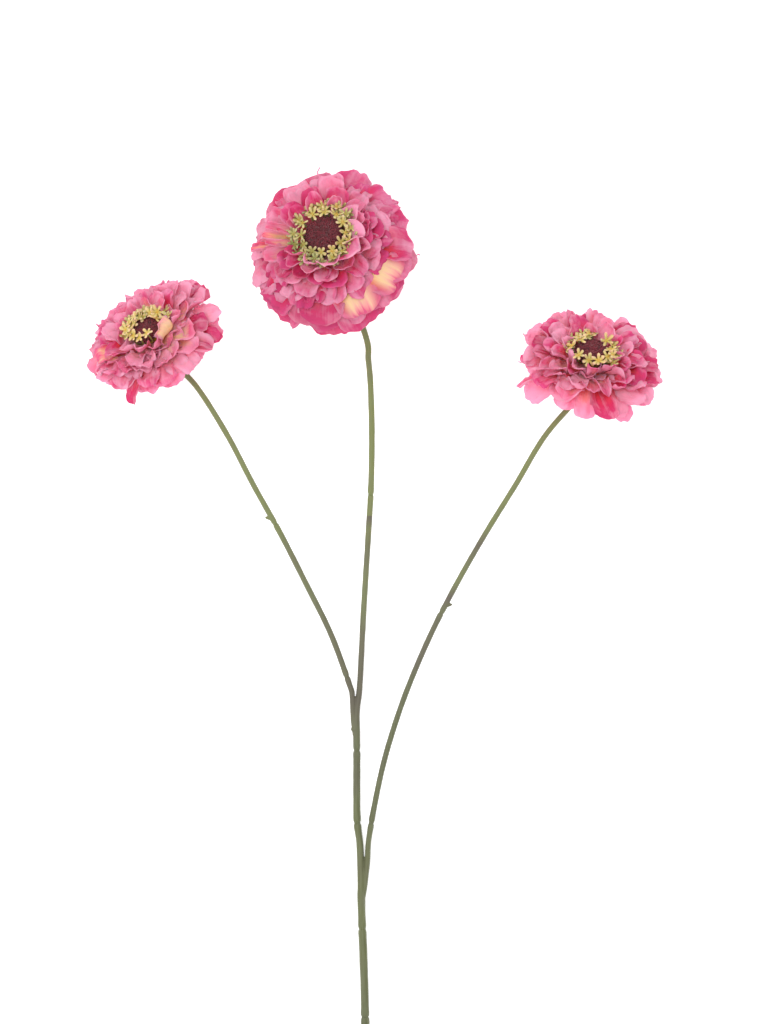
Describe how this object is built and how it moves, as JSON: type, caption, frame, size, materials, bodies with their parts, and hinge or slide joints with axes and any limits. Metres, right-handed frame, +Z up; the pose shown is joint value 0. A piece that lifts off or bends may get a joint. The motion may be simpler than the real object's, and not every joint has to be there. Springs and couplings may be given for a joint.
{
  "type": "artificial zinnia spray",
  "caption": "Artificial zinnia spray lying on its side: domed layered cloth flower heads with dark discs and yellow-green florets on a branching wired plastic stem.",
  "frame": {"origin": "on the table under the middle of the lying spray: the centre of the bounding box's bottom face", "axes": "+Y along the stem from the cut end to the flowers, +Z up from the table, +X to the right when looking down with the flowers away from the viewer"},
  "size_m": [0.2684, 0.5004, 0.0554],
  "materials": {
    "petal_cloth": "printed cloth, pink with a cream and orange base",
    "disc_flock": "dark burgundy flock",
    "floret_plastic": "soft moulded plastic",
    "calyx_plastic": "satin moulded plastic",
    "stem_plastic": "satin moulded plastic, mottled green and brown",
    "stem_wire": "drawn steel"
  },
  "bodies": {
    "root": {"centre_petals_1": "petal_cloth", "centre_petals_2": "petal_cloth", "centre_petals_3": "petal_cloth", "centre_petals_4": "petal_cloth", "centre_petals_5": "petal_cloth", "centre_petals_6": "petal_cloth", "centre_petals_7": "petal_cloth", "centre_petals_8": "petal_cloth", "centre_floret_ring": "floret_plastic", "centre_disc": "disc_flock", "centre_calyx": "calyx_plastic", "left_petals_1": "petal_cloth", "left_petals_2": "petal_cloth", "left_petals_3": "petal_cloth", "left_petals_4": "petal_cloth", "left_petals_5": "petal_cloth", "left_petals_6": "petal_cloth", "left_floret_ring": "floret_plastic", "left_disc": "disc_flock", "left_calyx": "calyx_plastic", "right_petals_1": "petal_cloth", "right_petals_2": "petal_cloth", "right_petals_3": "petal_cloth", "right_petals_4": "petal_cloth", "right_petals_5": "petal_cloth", "right_petals_6": "petal_cloth", "right_floret_ring": "floret_plastic", "right_disc": "disc_flock", "right_calyx": "calyx_plastic", "foot_sleeve": "stem_plastic", "lower_sleeve": "stem_plastic", "lower_fork": "stem_plastic", "trunk_sleeve": "stem_plastic", "upper_fork": "stem_plastic", "centre_sleeve": "stem_plastic", "left_lower_sleeve": "stem_plastic", "left_upper_sleeve": "stem_plastic", "right_lower_sleeve": "stem_plastic", "right_upper_sleeve": "stem_plastic", "main_wire": "stem_wire", "left_wire": "stem_wire", "right_wire": "stem_wire"}
  },
  "joints": []
}
